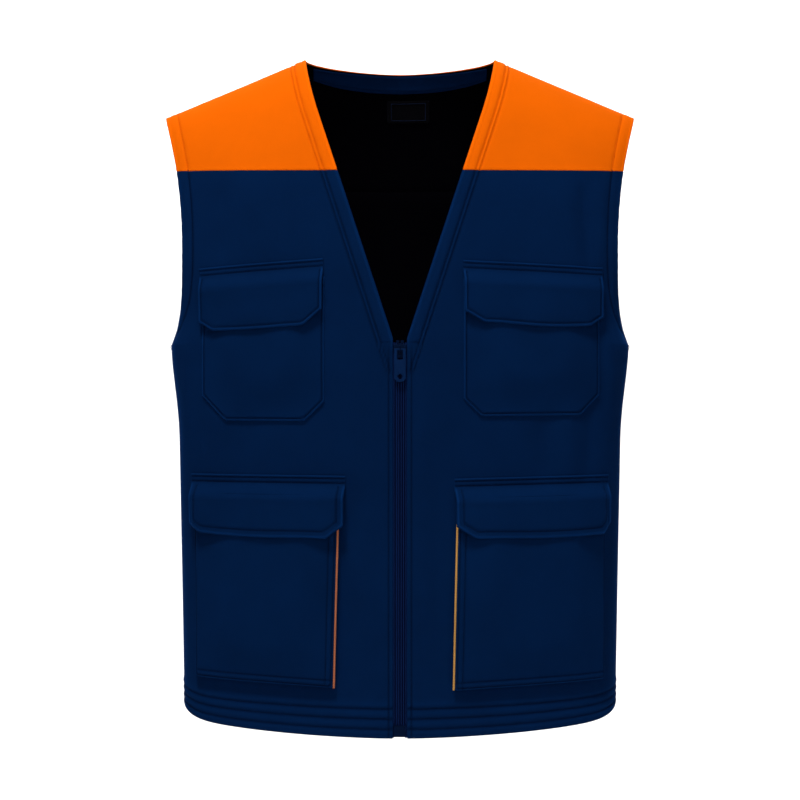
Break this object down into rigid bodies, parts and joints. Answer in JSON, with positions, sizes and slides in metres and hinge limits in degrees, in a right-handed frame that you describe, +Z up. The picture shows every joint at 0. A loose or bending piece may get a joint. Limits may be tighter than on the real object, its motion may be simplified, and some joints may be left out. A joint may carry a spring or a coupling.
{
  "type": "vest",
  "caption": "Zip-front navy vest with orange shoulder yokes, black lining, flapped chest pockets and flapped lower pockets edged in orange piping.",
  "frame": {"origin": "midway between the two neck points of the shoulders, on the shoulder seams' plane, where the vest hangs on the wearer", "axes": "+Z up, -Y out of the vest's front, +X towards the wearer's left"},
  "size_m": [0.5102, 0.2087, 0.723],
  "materials": {
    "orange_shell": "blaze orange woven polyester, matte with a soft sheen",
    "navy_shell": "navy woven polyester, matte",
    "navy_pocket": "navy woven polyester, matte",
    "navy_facing": "navy woven polyester, matte",
    "lining": "black lining, dull satin",
    "label": "blank woven label, black",
    "zip_tape": "navy knitted zip tape",
    "zip_coil": "navy nylon coil",
    "zip_metal": "dark painted zinc",
    "zip_pull": "navy moulded plastic",
    "hook_and_loop": "black hook-and-loop tape",
    "piping": "orange corded piping"
  },
  "bodies": {
    "back_and_yokes": {"back_panel": "navy_shell", "back_yoke": "orange_shell", "back_lining": "lining", "back_yoke_lining": "lining", "left_front_yoke": "orange_shell", "right_front_yoke": "orange_shell", "left_yoke_lining": "lining", "right_yoke_lining": "lining", "neck_facing": "navy_facing", "neck_label": "label"},
    "left_front": {"left_front_panel": "navy_shell", "left_front_lining": "lining", "left_front_facing": "navy_facing", "left_zip_tape": "zip_tape", "left_zip_coil": "zip_coil", "left_top_stop": "zip_metal", "insertion_pin": "zip_coil", "left_chest_pocket": "navy_pocket", "left_chest_flap_heading": "navy_pocket", "left_chest_loop_patch": "hook_and_loop", "left_cargo_pocket": "navy_pocket", "left_cargo_flap_heading": "navy_pocket", "left_cargo_loop_patch": "hook_and_loop", "left_cargo_piping": "piping"},
    "right_front": {"right_front_panel": "navy_shell", "right_front_lining": "lining", "right_front_facing": "navy_facing", "right_zip_tape": "zip_tape", "right_zip_coil": "zip_coil", "right_top_stop": "zip_metal", "retainer_box": "zip_pull", "right_chest_pocket": "navy_pocket", "right_chest_flap_heading": "navy_pocket", "right_chest_loop_patch": "hook_and_loop", "right_cargo_pocket": "navy_pocket", "right_cargo_flap_heading": "navy_pocket", "right_cargo_loop_patch": "hook_and_loop", "right_cargo_piping": "piping"},
    "zip_slider": {"slider_body": "zip_metal", "slider_bridge": "zip_metal"},
    "zip_pull": {"zip_puller": "zip_pull"},
    "left_chest_flap": {"left_chest_flap": "navy_pocket", "left_chest_hook_patch": "hook_and_loop"},
    "right_chest_flap": {"right_chest_flap": "navy_pocket", "right_chest_hook_patch": "hook_and_loop"},
    "left_cargo_flap": {"left_cargo_flap": "navy_pocket", "left_cargo_hook_patch": "hook_and_loop"},
    "right_cargo_flap": {"right_cargo_flap": "navy_pocket", "right_cargo_hook_patch": "hook_and_loop"}
  },
  "joints": [
    {"name": "right_front_swing", "type": "hinge", "parent": "back_and_yokes", "child": "right_front", "pos_m": [-0.2475, 0, -0.5], "axis": [0, 0, -1], "range_deg": [0, 30]},
    {"name": "left_front_swing", "type": "hinge", "parent": "back_and_yokes", "child": "left_front", "pos_m": [0.2475, 0, -0.5], "axis": [0, 0, 1], "range_deg": [0, 30]},
    {"name": "zip_slide", "type": "slide", "parent": "right_front", "child": "zip_slider", "axis": [0, 0, -1], "range_m": [0, 0.376]},
    {"name": "zip_pull_swing", "type": "hinge", "parent": "zip_slider", "child": "zip_pull", "pos_m": [0, -0.101, -0.3205], "axis": [-1, 0, 0], "range_deg": [0, 150]},
    {"name": "left_chest_flap_fold", "type": "hinge", "parent": "left_front", "child": "left_chest_flap", "pos_m": [0.21308, -0.07941, -0.242], "axis": [-0.9888, -0.1434, 0.0406], "range_deg": [0, 120]},
    {"name": "right_chest_flap_fold", "type": "hinge", "parent": "right_front", "child": "right_chest_flap", "pos_m": [-0.08102, -0.09878, -0.234], "axis": [-0.9869, 0.146, -0.0683], "range_deg": [0, 120]},
    {"name": "left_cargo_flap_fold", "type": "hinge", "parent": "left_front", "child": "left_cargo_flap", "pos_m": [0.22083, -0.07812, -0.459], "axis": [-0.9854, -0.1688, -0.0243], "range_deg": [0, 120]},
    {"name": "right_cargo_flap_fold", "type": "hinge", "parent": "right_front", "child": "right_cargo_flap", "pos_m": [-0.05883, -0.10586, -0.46], "axis": [-0.9856, 0.1687, 0.0122], "range_deg": [0, 120]}
  ],
  "couplings": [
    {"joint": "left_front_swing", "follows": "right_front_swing", "ratio": 1},
    {"joint": "zip_slide", "follows": "right_front_swing", "m_per_rad": 0.715}
  ]
}
